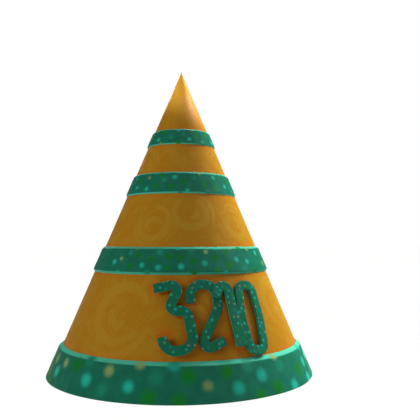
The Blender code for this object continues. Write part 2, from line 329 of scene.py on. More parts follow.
def finish_look(look, colour, roughness, normal=None, coat=None):
    """Links what varies over the surface to the shader, and gives the material back."""
    shader = look.node_tree.nodes["Principled BSDF"]
    linked = {"Base Color": colour, "Roughness": roughness, "Normal": normal, "Coat Weight": coat}
    for key, value in linked.items():
        if value is not None:
            look.node_tree.links.new(value, shader.inputs[key])
    return look


# Swirls printed on the gold paper: azimuth in degrees, height and reach in millimetres, and turn in
# radians.
SWIRLS = [
    (-31.5, 38, 21, 2.6), (-23, 85, 13, -2.2), (9, 91, 12.5, 2.0), (51, 86, 12, 2.4),
    (66, 42, 18, -2.4), (17, 46, 13, 2.0), (-72, 84, 14, 2.4), (-84, 36, 17, -2.6),
    (-52, 121, 8, 2.2), (62, 121, 8, -2.2), (-5, 156, 6, 2.0), (86, 88, 13, -2.4),
    (104, 42, 18, 2.6), (128, 90, 14, 2.4), (150, 40, 17, -2.4), (178, 88, 13, 2.4),
    (-165, 42, 16, 2.4), (-122, 40, 18, 2.6), (-118, 90, 14, -2.4), (150, 124, 8, 2.2),
    (-100, 122, 9, 2.2),
]
# Each swirl's brushed strokes: size and width as shares of its reach, with the start in radians and
# the length in turns between them.
CURL_STROKES = (0.72, 0.35, 0.8, 0.21), (0.26, 2.6, 0.4, 0.17), (0.98, 3.9, 0.3, 0.13)
CURL_STEPS = 40


def gold_paper():
    """Pearly paper with brushed swirls printed in two close golds, and painted light and shade."""
    look, tree = new_look("gold_swirl_paper", Specular_IOR_Level=0.06, Coat_Roughness=0.46)
    place = add(tree, "UVMap", uv_map="flat").outputs[0]
    for azimuth, z, reach, turn in SWIRLS:
        centre = (*unrolled(math.radians(azimuth), z * MM).tolist(), 0.0)
        away = add(tree, "VectorMath", {0: place, 1: centre}, operation="DISTANCE")
        angle = ranged(tree, away.outputs["Value"], 0.0, reach, turn, 0.0)
        values = {"Vector": place, "Center": centre, "Angle": angle}
        place = add(tree, "VectorRotate", values, rotation_type="Z_AXIS").outputs[0]
    drift = add(tree, "TexNoise", {"Vector": place, "Scale": 0.045, "Detail": 2.0})
    values = {0: drift.outputs["Color"], 1: (0.5, 0.5, 0.5)}
    drift = add(tree, "VectorMath", values, operation="SUBTRACT")
    drift = add(tree, "VectorMath", {0: drift.outputs[0], 3: 18.0}, operation="SCALE")
    place = add(tree, "VectorMath", {0: place, 1: drift.outputs[0]}).outputs[0]
    values = {"Vector": place, "Rotation": (0, 0, math.radians(24)), "Scale": (0.032, 0.115, 1.0)}
    drawn = add(tree, "Mapping", values).outputs[0]
    broad, fine = noise(tree, 1.0, 2.0, drawn), noise(tree, 4.0, 3.0, drawn)
    ragged = ranged(tree, fine, 0.25, 0.75, -0.35, 0.35, False)
    ragged = maths(tree, "ADD", painted(tree, "curl"), ragged)
    streak = ranged(tree, broad, 0.47, 0.6, 0.0, 0.6)
    stroke = maths(tree, "MAXIMUM", ranged(tree, ragged, -0.1, 0.5), streak)
    hair = ranged(tree, fine, 0.3, 0.7)
    stroke, hair = maths(tree, "MULTIPLY", stroke, 0.82), maths(tree, "MULTIPLY", hair, 0.18)
    ink = maths(tree, "ADD", stroke, hair)
    colour = mix(tree, ink, (0.304, 0.136, 0.0055), (0.316, 0.171, 0.0125))
    colour = mix(tree, patches(tree, 22.0), colour, mix(tree, 0.15, colour, (0.32, 0.115, 0.007)))
    # Painted light at the tip: brighter gold up there, reaching lower toward +X, a little less
    # bright at +X.
    spot = add(tree, "SeparateXYZ", {0: in_object(tree)})
    across, height = spot.outputs[0], spot.outputs[2]
    slanted = maths(tree, "ADD", height, maths(tree, "MULTIPLY", across, 0.45))
    fade = ranged(tree, slanted, 0.1435, 0.1645)
    side = ranged(tree, across, -0.003, 0.009)
    bright = mix(tree, side, (0.820, 0.392, 0.026), (0.690, 0.268, 0.034))
    bright = mix(tree, maths(tree, "MULTIPLY", ink, 0.1), bright, (0.85, 0.46, 0.05))
    colour = mix(tree, fade, colour, bright)
    # Painted shade: the paper turns darker and redder where the shade field says.
    shaded = mix(tree, 1.0, colour, (1.32, 0.68, 0.9), "MULTIPLY")
    colour = mix(tree, painted(tree, "shade"), colour, shaded)
    colour = mix(tree, painted(tree, "cut"), colour, (0.80, 0.74, 0.60))
    grain = noise(tree, 2600.0, 2.0)
    varnish = maths(tree, "MULTIPLY", fade, ranged(tree, height, 0.157, 0.170, 0.95, 0.2))
    satin = ranged(tree, maths(tree, "ADD", ink, grain), 0.2, 1.8, 0.62, 0.5)
    roughness = maths(tree, "SUBTRACT", satin, maths(tree, "MULTIPLY", fade, 0.22))
    normal = bump(tree, grain, 0.00002, 0.5)
    normal = bump(tree, ink, 0.00012, 0.35, normal)
    return finish_look(look, colour, roughness, normal, varnish)


def teal_foam(name, level):
    """Closed-cell foam: soft dots printed on deep teal, and a lighter cut core, partly painted
    highlight.
    """
    look, tree = new_look(name, Specular_IOR_Level=0.1)
    cut = painted(tree, "cut")
    mottle = patches(tree, 160.0, 4.0)
    # A level below 1 gives a darker copy of the foam, its dots weaker too: painted shade.
    pale, deep = Vector((0.0075, 0.126, 0.075)) * level, Vector((0.0052, 0.106, 0.060)) * level
    face = mix(tree, mottle, deep, pale)
    # The bevels' lighter teal is partly the cut core and partly painted highlight; the lower bevels,
    # at cut 2, get their own.
    colour = mix(tree, cut, face, (0.060, 0.405, 0.268))
    colour = mix(tree, ranged(tree, cut, 1.0, 2.0), colour, (0.026, 0.270, 0.180))
    ragged = patches(tree, 1500.0, 2.0, to_low=-0.07, to_high=0.07)
    ragged = maths(tree, "ADD", painted(tree, "dot"), ragged)
    print_mask = ranged(tree, ragged, 1.45, 0.25, 0.0, 0.95 * level)
    colour = mix(tree, print_mask, colour, painted(tree, "tint", "Color"))
    pores = cells(tree, 2300.0)
    colour = mix(tree, ranged(tree, pores, 0.35, 0.75, 0.0, 0.18), colour, (0.004, 0.06, 0.04))
    roughness = ranged(tree, maths(tree, "ADD", mottle, print_mask), 0.0, 2.0, 0.66, 0.5)
    normal = bump(tree, pores, 0.00006, 0.45)
    normal = bump(tree, noise(tree, 420.0, 3.0), 0.00018, 0.35, normal)
    return finish_look(look, colour, roughness, normal)


def greyboard():
    """Pressed grey board with long fibres and specks."""
    look, tree = new_look("fibrous_greyboard")
    values = {"Vector": in_object(tree), "Scale": (900, 900, 140)}
    long_way = add(tree, "Mapping", values).outputs[0]
    fibre = ranged(tree, noise(tree, 1.0, 4.0, long_way, 0.65), 0.3, 0.7)
    colour = mix(tree, fibre, (0.30, 0.262, 0.205), (0.46, 0.415, 0.335))
    cloud = patches(tree, 45.0, 4.0, 0.35, 0.65)
    colour = mix(tree, maths(tree, "MULTIPLY", cloud, 0.35), colour, (0.37, 0.30, 0.215))
    speck = ranged(tree, cells(tree, 620.0), 0.10, 0.2, 1.0, 0.0)
    sparse = patches(tree, 95.0, 1.0, 0.52, 0.62)
    colour = mix(tree, maths(tree, "MULTIPLY", speck, sparse), colour, (0.22, 0.17, 0.12))
    roughness = ranged(tree, fibre, 0.0, 1.0, 0.92, 0.8)
    normal = bump(tree, fibre, 0.00008, 0.6)
    return finish_look(look, colour, roughness, normal)


def paper_tape():
    """Creped paper tape: fine wrinkles across, and a faint sheen from its backing."""
    look, tree = new_look("creped_paper_tape")
    across = add(tree, "Mapping", {"Vector": in_object(tree), "Scale": (260, 260, 1500)}).outputs[0]
    crepe = ranged(tree, noise(tree, 1.0, 3.0, across), 0.3, 0.7)
    colour = mix(tree, crepe, (0.66, 0.62, 0.52), (0.83, 0.80, 0.71))
    stain = patches(tree, 70.0, 3.0, 0.45, 0.75, 0.0, 0.3)
    colour = mix(tree, stain, colour, (0.62, 0.52, 0.36))
    roughness = ranged(tree, crepe, 0.0, 1.0, 0.72, 0.55)
    normal = bump(tree, crepe, 0.00010, 0.7)
    return finish_look(look, colour, roughness, normal)


def felt():
    """Pressed wool felt: matted fibres in a warm off-white."""
    look, tree = new_look("pressed_felt", Sheen_Weight=0.5, Sheen_Roughness=0.6)
    fibre = ranged(tree, noise(tree, 1100.0, 6.0, None, 0.7), 0.3, 0.7)
    lump = patches(tree, 190.0, 4.0)
    colour = mix(tree, fibre, (0.60, 0.55, 0.44), (0.84, 0.80, 0.70))
    colour = mix(tree, maths(tree, "MULTIPLY", lump, 0.3), colour, (0.68, 0.61, 0.48))
    roughness = ranged(tree, fibre, 0.0, 1.0, 1.0, 0.85)
    normal = bump(tree, fibre, 0.00022, 0.7)
    normal = bump(tree, lump, 0.0004, 0.4, normal)
    return finish_look(look, colour, roughness, normal)


def brass():
    """Stamped brass, brighter where it rubs and dull in its hollows."""
    look, tree = new_look("stamped_brass", Metallic=1.0)
    tarnish = patches(tree, 700.0, 5.0, 0.35, 0.7)
    colour = mix(tree, tarnish, (0.80, 0.60, 0.26), (0.52, 0.36, 0.14))
    scratch = patches(tree, 3800.0, 2.0, 0.45, 0.65)
    roughness = ranged(tree, maths(tree, "ADD", tarnish, scratch), 0.0, 2.0, 0.18, 0.42)
    normal = bump(tree, scratch, 0.00002, 0.4)
    return finish_look(look, colour, roughness, normal)


def pad_foam():
    """Dark double-sided foam tape: open cells along its cut sides."""
    look, tree = new_look("adhesive_pad_foam")
    pores = cells(tree, 3300.0)
    colour = mix(tree, ranged(tree, pores, 0.2, 0.7), (0.030, 0.078, 0.060), (0.012, 0.036, 0.028))
    roughness = ranged(tree, pores, 0.0, 0.8, 0.6, 0.9)
    return finish_look(look, colour, roughness, bump(tree, pores, 0.0001, 0.7))


# ---------------------------------------------------------------- dots

DOT_TINTS = {
    "teal": (0.012, 0.345, 0.238),
    "green": (0.004, 0.148, 0.007),
    "gold": (0.165, 0.262, 0.085),
    "faint": (0.010, 0.180, 0.105),
}
DOT_MIX = "teal green green teal gold green faint teal green faint teal gold".split()
DOT_SIZES = {"teal": 1.0, "green": 1.14, "gold": 0.84, "faint": 1.15}
SCATTER_ATTEMPTS = 6000
NO_DOT = 9.0

# The dots at the fronts of the brim and the bands: azimuth in degrees and height in millimetres.
BRIM_FRONT = {
    "gold": [(-56, 12.4), (-28.9, 13), (10.1, 7.7), (-16, 17.2), (43, 17.3)],
    "green": [
        (-47, 13), (2.8, 12.2), (18, 13), (-11.5, 2.9), (-0.5, 1.9), (31, 0.9), (40.3, 3.1),
        (57.7, 7.8),
    ],
    "teal": [
        (-38.9, 7.6), (-19.5, 7), (21.9, 5.7), (33.3, 9.8), (50.5, 1.7), (-2.5, 17.4), (-62, 7),
    ],
    "faint": [(-9.2, 11.4), (-30, 4.6), (27.5, 14.6), (-40, 17.2), (45, 12.5)],
}
LOWER_FRONT = {
    "gold": [(-40.9, 66.3), (16.1, 70), (69.2, 63.1), (34.9, 72), (51.2, 71.3), (-30, 72.2)],
    "green": [
        (-27.5, 68.1), (-32.5, 62.7), (-18.2, 66.3), (-7.2, 67.5), (0.1, 67.4), (7.7, 65.3),
        (-8.1, 61.9), (22.1, 66.8), (21.7, 60.8), (31.1, 62.9), (30.2, 69.8), (61.7, 61.5),
        (53, 59.9), (42.7, 72), (7.7, 59),
    ],
    "teal": [
        (-46.5, 64.4), (-24, 63.1), (-13.5, 62), (0.1, 62.5), (14.5, 64.1), (37.8, 65.8),
        (47.1, 64.6), (61.7, 68.9), (-1.6, 72.2), (23.4, 72.2), (27.7, 58.7), (-41, 58.8),
    ],
    "faint": [(-34.3, 69.3), (-13.4, 69.9), (6.5, 70.4), (-20, 59), (43, 60.5)],
}
UPPER_FRONT = {
    "gold": [(-37.4, 111), (21, 113.5)],
    "green": [
        (3, 108.3), (-27, 106), (-10.1, 105.7), (25.2, 106.8), (39, 105), (47.8, 112.7),
        (60.8, 109.5), (-22, 112.5), (-48, 109.5),
    ],
    "teal": [
        (-6.8, 110.9), (-37.1, 104.5), (-52.5, 105.7), (6.1, 103.2), (38.3, 111.3), (53.7, 106.6),
        (-29, 113.8), (-60, 111.5),
    ],
    "faint": [(-18.2, 109.4), (13.8, 110.5), (-0.5, 102.2), (27, 102.6), (67, 104)],
}
TOP_FRONT = {
    "gold": [(-36, 131.4), (22, 140)],
    "green": [(-33.1, 138.6), (28.3, 136.4), (53, 137.5), (-4.4, 131.6), (-58, 136)],
    "teal": [(-5.3, 139.6), (-42.7, 134), (14, 133.9), (66, 133.5)],
    "faint": [(-18, 135), (38, 132.2), (5, 136.8)],
}


def scatter(seed, low, high, standoff, spacing, front=None, front_edge=0.0):
    """Dots as (place, kind): those given for the front, and others well apart elsewhere."""
    draw = np.random.RandomState(seed)
    dots = []
    for kind, places in (front or {}).items():
        dots += [(wall(math.radians(turn), z * MM, standoff), kind) for turn, z in places]
    for _ in range(SCATTER_ATTEMPTS):
        turn, z = draw.uniform(-math.pi, math.pi), draw.uniform(low, high)
        if abs(turn) < math.radians(front_edge):
            continue
        place = wall(turn, z, standoff)
        if all(np.linalg.norm(place - other) > spacing for other, _ in dots):
            dots.append((place, DOT_MIX[draw.randint(len(DOT_MIX))]))
    return dots


def dot_fields(points, dots, radius, seed):
    """How many dot radii each point is from the nearest dot's middle, and that dot's colour."""
    draw = np.random.RandomState(seed)
    points = np.asarray(points).reshape(-1, 3)
    centres = np.array([place for place, _ in dots])
    kinds = [kind for _, kind in dots]
    sizes = radius * draw.uniform(0.9, 1.1, len(dots)) * np.array([DOT_SIZES[k] for k in kinds])
    tints = np.array([DOT_TINTS[k] for k in kinds]) * draw.uniform(0.85, 1.12, (len(dots), 1))
    nearest = np.zeros(len(points), dtype=int)
    least = np.full(len(points), NO_DOT)
    for i in range(len(dots)):
        away = np.linalg.norm(points - centres[i], axis=1) / sizes[i]
        closer = away < least
        nearest[closer], least[closer] = i, away[closer]
    return least, tints[nearest]


# ---------------------------------------------------------------- pieces


def place_piece(piece, slot, *nodes):
    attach(piece, "root")
    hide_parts(*nodes)
    return piece


def eyelet_axes():
    """Each eyelet's middle on the gold cone, and the way out along its axis."""
    for side in (-1, 1):
        out = np.array([side * math.cos(HALF_ANGLE), 0.0, math.sin(HALF_ANGLE)])
        yield wall(side * math.pi / 2, EYELET_HEIGHT, 0.0), out


def from_eyelets(points):
    """How far each point is from the nearer eyelet's axis."""
    away = []
    for middle, out in eyelet_axes():
        reach = points - middle
        away.append(np.linalg.norm(reach - (reach @ out)[..., None] * out, axis=-1))
    return np.minimum(*away)


def pierce(piece):
    """Cuts the two round holes that the eyelets go through; their flanges cover the rims."""
    bm = bmesh.new()
    bm.from_mesh(piece.data)
    middles = np.array([face.calc_center_median()[:] for face in bm.faces])
    bm.faces.ensure_lookup_table()
    faces = [bm.faces[i] for i in np.flatnonzero(from_eyelets(middles) < EYELET_HOLE)]
    bmesh.ops.delete(bm, geom=faces, context="FACES")
    for middle, out in eyelet_axes():
        rim = [edge for edge in bm.edges if edge.is_boundary and edge.verts[0].co.x * out[0] > 0]
        for vert in {vert for edge in rim for vert in edge.verts}:
            reach = np.array(vert.co) - middle
            along = (reach @ out) * out
            sideways = reach - along
            vert.co = Vector(middle + along + sideways * EYELET_HOLE / np.linalg.norm(sideways))
        bmesh.ops.bridge_loops(bm, edges=rim)
    bmesh.ops.dissolve_degenerate(bm, dist=SLIVER, edges=bm.edges[:])
    bm.to_mesh(piece.data)
    bm.free()


def stations(count, start=-math.pi, end=math.pi):
    return np.linspace(start, end, count + 1)


def strip_sections(turns, z, standoff):
    """Outlines round the cone that stop just short of the back seam on each side."""
    z, standoff = np.broadcast_arrays(z, standoff)
    most = math.pi - np.arcsin(SEAM_HALF_GAP / wall_radius(z, standoff))
    return wall(np.clip(turns[:, None], -most, most), z, standoff)


def layer_outline(ends, faces, radii, step, bevels=(0.0, 0.0)):
    """A layer's section between two heights and two faces, its far face bevelled in from its ends.

    The radii, in millimetres, are those of the near face's corners and of the far face's two.
    """
    (bottom, top), (near, far) = ends, faces
    corners = [
        (bottom, near, radii[0] * MM),
        (top, near, radii[0] * MM),
        (top - bevels[1], far, radii[2] * MM),
        (bottom + bevels[0], far, radii[1] * MM),
    ]
    return outline_points(corners, step)


FACE_WAVE, FACE_RIPPLE, EDGE_WAVE = 0.07 * MM, 0.05 * MM, 0.12 * MM
CUT_FADE = 0.35 * MM
CUT_START = 0.1 * MM
GLUED = GAP + 0.02 * MM


def foam_strip(name, node, outline, look, count, dots, radius, seed, lifted, bevels, lip):
    """A foam strip with rounded bevels, a slightly uneven face and edges, and printed dots.

    Points with a stand-off below lifted ride over the lap of the wrap. The lighter cut core, partly
    painted highlight, shows below and above the two heights in bevels, as strongly as lip says
    above.
    """
    turns = stations(count)
    column = turns[:, None]
    z, standoff = outline.T
    glued = standoff < GLUED
    proud = smooth_step((standoff - GAP) / (standoff.max() - GAP))
    share = (z - z.min()) / (z.max() - z.min())
    face_wave = FACE_WAVE * ripple(column, seed) * proud
    face_wave = face_wave + FACE_RIPPLE * ripple(column * 3 + share * 0.7, seed + 1) * proud
    upper_wave, lower_wave = ripple(column, seed + 2, 3, 14), ripple(column, seed + 3, 3, 14)
    edge_wave = upper_wave * share + lower_wave * (1 - share)
    grounded = smooth_step(z / (3 * MM))
    heights = z + EDGE_WAVE * edge_wave * grounded * (0.4 + 0.6 * proud)
    standoffs = standoff + (standoff < lifted) * seam_lift(column) + face_wave
    sections = strip_sections(turns, heights, standoffs)
    if node == "brim":
        pocket = (from_eyelets(sections) < EYELET_FLANGE + 0.5 * MM) & glued
        sections = strip_sections(turns, heights, standoffs + 0.5 * MM * pocket)
    away, tints = dot_fields(sections, dots, radius, seed)
    below, above = bevels
    lower, upper = smooth_step((below - z) / CUT_FADE), smooth_step((z - above) / CUT_FADE)
    cut = np.where(glued, 1.0, np.maximum(2 * lower, lip * upper))
    fields = {"dot": away, "tint": tints, "cut": np.broadcast_to(cut, sections.shape[:2]).ravel()}
    piece = sweep(name, sections, look, fields=fields)
    return place_piece(piece, "teal_foam", node)


# Each band's bevel, stand-off, dot radius and dot spacing in millimetres, its stations round and
# random seed, the dots at its front, and how far round those go in degrees.
BANDS = {
    "lower_band": (1.3, 1.25, 1.6, 4.6, 480, 21, LOWER_FRONT, 80),
    "upper_band": (1.0, 0.9, 1.4, 5.0, 360, 31, UPPER_FRONT, 78),
    "top_band": (0.8, 0.8, 1.35, 4.8, 280, 36, TOP_FRONT, 75),
}
# How strongly the lighter cut core, partly painted highlight, shows on the bands' upper bevels.
BAND_LIP = 0.8


def bands(look):
    for node, (*sizes, count, seed, front, front_edge) in BANDS.items():
        bevel, outer, radius, spacing = (size * MM for size in sizes)
        low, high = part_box(node)
        bottom, top = low.z, high.z
        outline = layer_outline(
            (bottom, top), (GAP, outer), (0.0, 0.35, 0.35), 0.6 * MM, (bevel, bevel)
        )
        dots = scatter(seed, bottom, top, outer, spacing, front, front_edge)
        bevels = bottom + bevel - CUT_START, top - bevel + CUT_START
        name = f"{node}_foam"
        foam_strip(name, node, outline, look, count, dots, radius, seed, math.inf, bevels, BAND_LIP)


def brim_strip(look):
    top, bevel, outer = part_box("brim")[1].z, 1.9 * MM, 1.9 * MM
    outline = layer_outline((0.0, top), (GAP, outer), (0.0, 0.25, 0.5), 0.7 * MM, (0.0, bevel))
    dots = scatter(11, 0.5 * MM, top, outer, 8.2 * MM, BRIM_FRONT, 66)
    bevels = -1.0 * MM, top - bevel + CUT_START
    lifted = GAP + 0.3 * MM
    print_of = dots, 3.3 * MM, 12
    foam_strip("brim_foam", "brim", outline, look, BRIM_STEPS, *print_of, lifted, bevels, 1.0)


def curls(flat):
    """How far into a brushed curl each point of the pattern is: 1 in its middle, 0 at its edge."""
    inside = np.full(len(flat), -1.0)
    for i, (azimuth, z, reach, turn) in enumerate(SWIRLS):
        centre = unrolled(math.radians(azimuth), z * MM)
        hand = 1 if turn > 0 else -1
        near = np.hypot(*(flat - centre).T) < reach * 1.4
        best = np.full(near.sum(), -1.0)
        for size, start, length, wide in CURL_STROKES:
            for k in range(CURL_STEPS + 1):
                share = k / CURL_STEPS
                angle = start + i + hand * share * length * 2 * math.pi
                out = size * reach * (1.06 - 0.2 * share)
                half = wide * reach * (0.35 + 0.65 * math.sin(math.pi * (0.12 + 0.8 * share)))
                spot = centre + out * np.array([math.cos(angle), math.sin(angle)])
                best = np.maximum(best, 1 - np.hypot(*(flat[near] - spot).T) / half)
        inside[near] = np.maximum(inside[near], best)
    return inside


# Painted shade on the paper: a darker, redder halo round the numerals, and a weaker one along the
# bands.
HALO_REACH = 60 * MM
HALO_SHIFT = 0.9 * MM
HALO_START = 1.5 * MM
HALO_WIDTH = 4.8 * MM
HALO_LEVEL = 0.8
BAND_SHADE_WIDTH = 4 * MM
BAND_SHADE_LEVEL = 0.3


def painted_shade(points):
    """How dark the painted shade on the paper is: round the numerals and along the bands."""
    x, y, z = points.reshape(-1, 3).T
    spots = unrolled(np.arctan2(x, -y) - PATTERN_AZIMUTH, z) * MM + (0.0, PATTERN_SLANT)
    near = np.abs(spots).max(axis=1) < HALO_REACH
    away = np.full(near.sum(), 1.0)
    for corners, place, _ in NUMERALS.values():
        even = numeral_path(corners, corners[0][2] > 0)[0][::2]
        for stroke in turned_flat(even, place) + HALO_SHIFT:
            away = np.minimum(away, np.hypot(*(spots[near] - stroke).T))
    shade = np.zeros(len(spots))
    shade[near] = HALO_LEVEL * (1 - smooth_step((away - HALO_START) / HALO_WIDTH))
    for node in ("brim", *BANDS):
        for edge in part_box(node):
            along = 1 - smooth_step(np.abs(z - edge.z) / BAND_SHADE_WIDTH)
            shade = np.maximum(shade, BAND_SHADE_LEVEL * along)
    return shade


def cover(look):
    """The gold wrap, with its lap at the back and the paper's pale core at its edges."""
    low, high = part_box("gold_cover")
    bottom, top = low.z, high.z
    turns = np.concatenate([stations(COVER_STEPS), math.pi + stations(LAP_STEPS, 0, LAP)[1:]])
    heights = np.linspace(bottom, top, COVER_ROWS)
    inner = np.linspace(top, bottom, COVER_INNER_ROWS)
    z = np.concatenate([heights, inner])
    outer_face = np.concatenate([np.ones(len(heights)), np.zeros(len(inner))])
    lift = LAP_LIFT * smooth_step((turns - math.pi + LAP_RAMP) / LAP_RAMP)[:, None]
    fade = smooth_step((HEIGHT - z) / (60 * MM))
    wave = 0.05 * MM * ripple(turns[:, None] + z * 9, 41, 2, 7) * fade
    standoff = -COVER_THICKNESS * (1 - outer_face) + lift + wave
    sections = wall(turns[:, None], z, standoff)
    flat = unrolled(turns[:, None], z).reshape(-1, 2)
    cut = np.zeros(sections.shape[:2])
    cut[-1] = cut[0] = 1.0
    cut[:, len(heights):] = 1.0
    fields = {"cut": cut.ravel(), "shade": painted_shade(sections), "curl": curls(flat)}
    piece = sweep("cover_paper", sections, look, fields=fields, flat=flat)
    pierce(piece)
    return place_piece(piece, "gold_paper", "gold_cover")


def tip(look):
    """The point: a rounded tip, then the neck that goes down inside the wrap and the board."""
    shoulder, neck, bottom = 174.06 * MM, 164.2 * MM, 148 * MM
    blunt = 0.35 * MM
    profile = []
    for k in range(1, 7):
        turn = math.radians(12 * k)
        profile.append((blunt * math.sin(turn) * 0.8, HEIGHT - blunt * (1 - math.cos(turn)) * 1.6))
    for z in np.linspace(HEIGHT - 1.2 * MM, shoulder + 0.1 * MM, 6):
        profile.append((wall_radius(z, 0.0), z))
    profile += [
        (wall_radius(shoulder, -0.08 * MM), shoulder),
        (wall_radius(shoulder, BOARD_OUTER), shoulder),
        (wall_radius(neck, BOARD_OUTER), neck),
        (wall_radius(neck, LINING_OUTER), neck),
        (wall_radius(bottom + 0.5 * MM, LINING_OUTER), bottom + 0.5 * MM),
        (wall_radius(bottom, LINING_OUTER - 0.5 * MM), bottom),
    ]
    sections = turned(profile, TIP_STEPS)
    points = np.concatenate([sections.reshape(-1, 3), [(0, 0, HEIGHT), (0, 0, bottom)]])
    above, below = len(points) - 2, len(points) - 1
    rings = np.arange(above).reshape(TIP_STEPS, -1)
    rings = np.r_[rings, rings[:1]]
    faces = quads_between(rings)[:, :-1].reshape(-1, 4).tolist()
    for here, there in zip(rings.tolist(), rings[1:].tolist()):
        faces += [(above, here[0], there[0]), (below, there[-1], here[-1])]
    x, y, z = points.T
    flat = unrolled(np.arctan2(x, -y), z)
    fields = {"cut": z < shoulder + 0.05 * MM, "curl": curls(flat)}
    piece = make_mesh("tip_point", points, faces, look, fields, flat)
    return place_piece(piece, "gold_paper", "tip_plug")


def board(look):
    low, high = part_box("cone_board")
    turns = stations(BOARD_STEPS)
    faces = BOARD_OUTER, BOARD_INNER
    outline = layer_outline((low.z, high.z), faces, (0.0, 0.15, 0.15), 4 * MM)
    wave = 0.05 * MM * ripple(turns, 51)[:, None] * (outline[:, 1] < BOARD_OUTER - 0.5 * MM)
    piece = sweep("board_shell", strip_sections(turns, outline[:, 0], outline[:, 1] + wave), look)
    pierce(piece)
    return place_piece(piece, "greyboard", "cone_board")


def inner_seam_tape(look):
    """Tape pressed down over the board's seam, its edges torn a little unevenly."""
    low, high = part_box("seam_tape")
    heights = np.linspace(low.z, high.z, SEAM_TAPE_ROWS)
    across = np.linspace(-1, 1, SEAM_TAPE_COLUMNS)
    sections = []
    for z in heights:
        left = 1 + 0.02 * ripple(np.array(z * 900), 61, 1, 6)
        right = 1 + 0.02 * ripple(np.array(z * 900), 62, 1, 6)
        share = np.where(across < 0, across * left, across * right)
        turns = math.pi + share * TAPE_HALF_WIDTH / wall_radius(z, LINING_OUTER)
        pinch = 0.12 * MM * smooth_step((np.abs(across) - 0.8) / 0.2)
        rise = 0.02 * MM * ripple(across * 3 + z * 700, 63)
        outer = wall(turns, z, LINING_OUTER)
        inner = wall(turns, z, LINING_OUTER - TAPE_THICKNESS + pinch + rise)
        sections.append(np.concatenate([outer, inner[::-1]]))
    piece = sweep("inner_seam_tape", np.array(sections), look)
    return place_piece(piece, "white_tape", "seam_tape")


def mouth_tape(look):
    """The L of tape round the mouth, with the small pleats that it takes to turn inwards."""
    low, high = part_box("hem_tape")
    inner = LINING_OUTER - TAPE_THICKNESS
    outline = outline_points(
        [
            (low.z, 0.0, 0.0),
            (low.z + TAPE_THICKNESS, 0.0, 0.0),
            (low.z + TAPE_THICKNESS, LINING_OUTER, 0.0),
            (high.z, LINING_OUTER, 0.0),
            (high.z, inner, 0.05 * MM),
            (low.z, inner, 0.12 * MM),
        ],
        0.9 * MM,
    )
    turns = stations(MOUTH_TAPE_STEPS)
    pleat = np.abs(np.sin(turns * 64 + 2 * ripple(turns, 71, 1, 5))) ** 6
    inside = (outline[:, 1] < LINING_OUTER - 0.05 * MM).astype(float)
    wave = -0.1 * MM * pleat[:, None] * inside * smooth_step((high.z - outline[:, 0]) / (1.5 * MM))
    piece = sweep("mouth_tape", strip_sections(turns, outline[:, 0], outline[:, 1] + wave), look)
    return place_piece(piece, "white_tape", "hem_tape")


def sweat_felt(look):
    """The felt strip inside the mouth, soft-edged and lumpy, cut off on each side of the seam."""
    low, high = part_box("sweatband")
    faces = LINING_OUTER, SWEATBAND_INNER
    outline = layer_outline((low.z, high.z), faces, (0.15, 0.55, 0.55), 0.8 * MM)
    end = math.pi - math.asin(SWEATBAND_HALF_OPENING / wall_radius(high.z, SWEATBAND_INNER))
    turns = stations(FELT_STEPS, -end, end)
    draw = np.random.RandomState(81)
    z = outline[:, 0]
    inside = smooth_step((LINING_OUTER - 0.4 * MM - outline[:, 1]) / (0.5 * MM))
    wave = 0.08 * MM * ripple(turns[:, None] * 4 + z * 500, 82, 2, 12) * inside
    wave = wave + 0.03 * MM * draw.uniform(-1, 1, (len(turns), len(z))) * inside
    sections = wall(turns[:, None], np.broadcast_to(z, wave.shape), outline[:, 1] + wave)
    piece = sweep("sweatband_felt", sections, look)
    pierce(piece)
    return place_piece(piece, "felt", "sweatband")


STITCH_ROWS = 7.7 * MM, 17.6 * MM
STITCH_THICKNESS, STITCH_LENGTH, STITCH_PITCH, STITCH_BOW = 0.24 * MM, 3.1 * MM, 4.6 * MM, 0.2 * MM
STITCH_RINGS, STITCH_SIDES = 9, 8


def stitching(look):
    """Two rows of running stitches along the felt's edges, each a short bowed length of thread."""
    points, faces = [], []
    draw = np.random.RandomState(85)
    for z in STITCH_ROWS:
        radius = wall_radius(z, SWEATBAND_INNER)
        end = math.pi - math.asin(SWEATBAND_HALF_OPENING / radius) - 2.5 * MM / radius
        count = int(2 * end * radius / STITCH_PITCH)
        for k in range(count):
            middle = -end + (k + 0.5) * 2 * end / count + draw.uniform(-0.2, 0.2) * MM / radius
            level = z + draw.uniform(-0.12, 0.12) * MM
            if from_eyelets(wall(middle, level, SWEATBAND_INNER)) < WASHER_RADIUS + 2 * MM:
                continue
            first = len(points)
            for share in np.linspace(-1, 1, STITCH_RINGS):
                turn = middle + share * STITCH_LENGTH / 2 / radius
                bow = STITCH_BOW * math.sqrt(max(0.0, 1 - share**4))
                rise = SWEATBAND_INNER + 0.08 * MM - bow
                slim = STITCH_THICKNESS * (1 - 0.35 * share**4)
                for i in range(STITCH_SIDES):
                    around = 2 * math.pi * i / STITCH_SIDES
                    up, out = slim * math.sin(around), slim * math.cos(around)
                    points.append(wall(turn, level + up, rise + out))
            rings = np.arange(first, len(points)).reshape(STITCH_RINGS, STITCH_SIDES)
            faces += quads_between(rings).reshape(-1, 4).tolist()
            faces += [rings[0][::-1].tolist(), rings[-1].tolist()]
    piece = make_mesh("sweatband_stitching", np.array(points), faces, look)
    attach(piece, "root")
    return piece


def thread():
    """Waxed cotton thread: a fine twist and a soft shine."""
    look, tree = new_look("cotton_thread", Sheen_Weight=0.3)
    values = {"Vector": in_object(tree), "Scale": 900.0, "Distortion": 2.0, "Detail": 1.0}
    twist = add(tree, "TexWave", values, bands_direction="DIAGONAL").outputs["Fac"]
    colour = mix(tree, twist, (0.34, 0.155, 0.022), (0.55, 0.285, 0.055))
    colour = mix(tree, patches(tree, 80.0, to_high=0.4), colour, (0.42, 0.19, 0.03))
    roughness = ranged(tree, twist, 0.0, 1.0, 0.7, 0.5)
    return finish_look(look, colour, roughness, bump(tree, twist, 0.00006, 0.6))


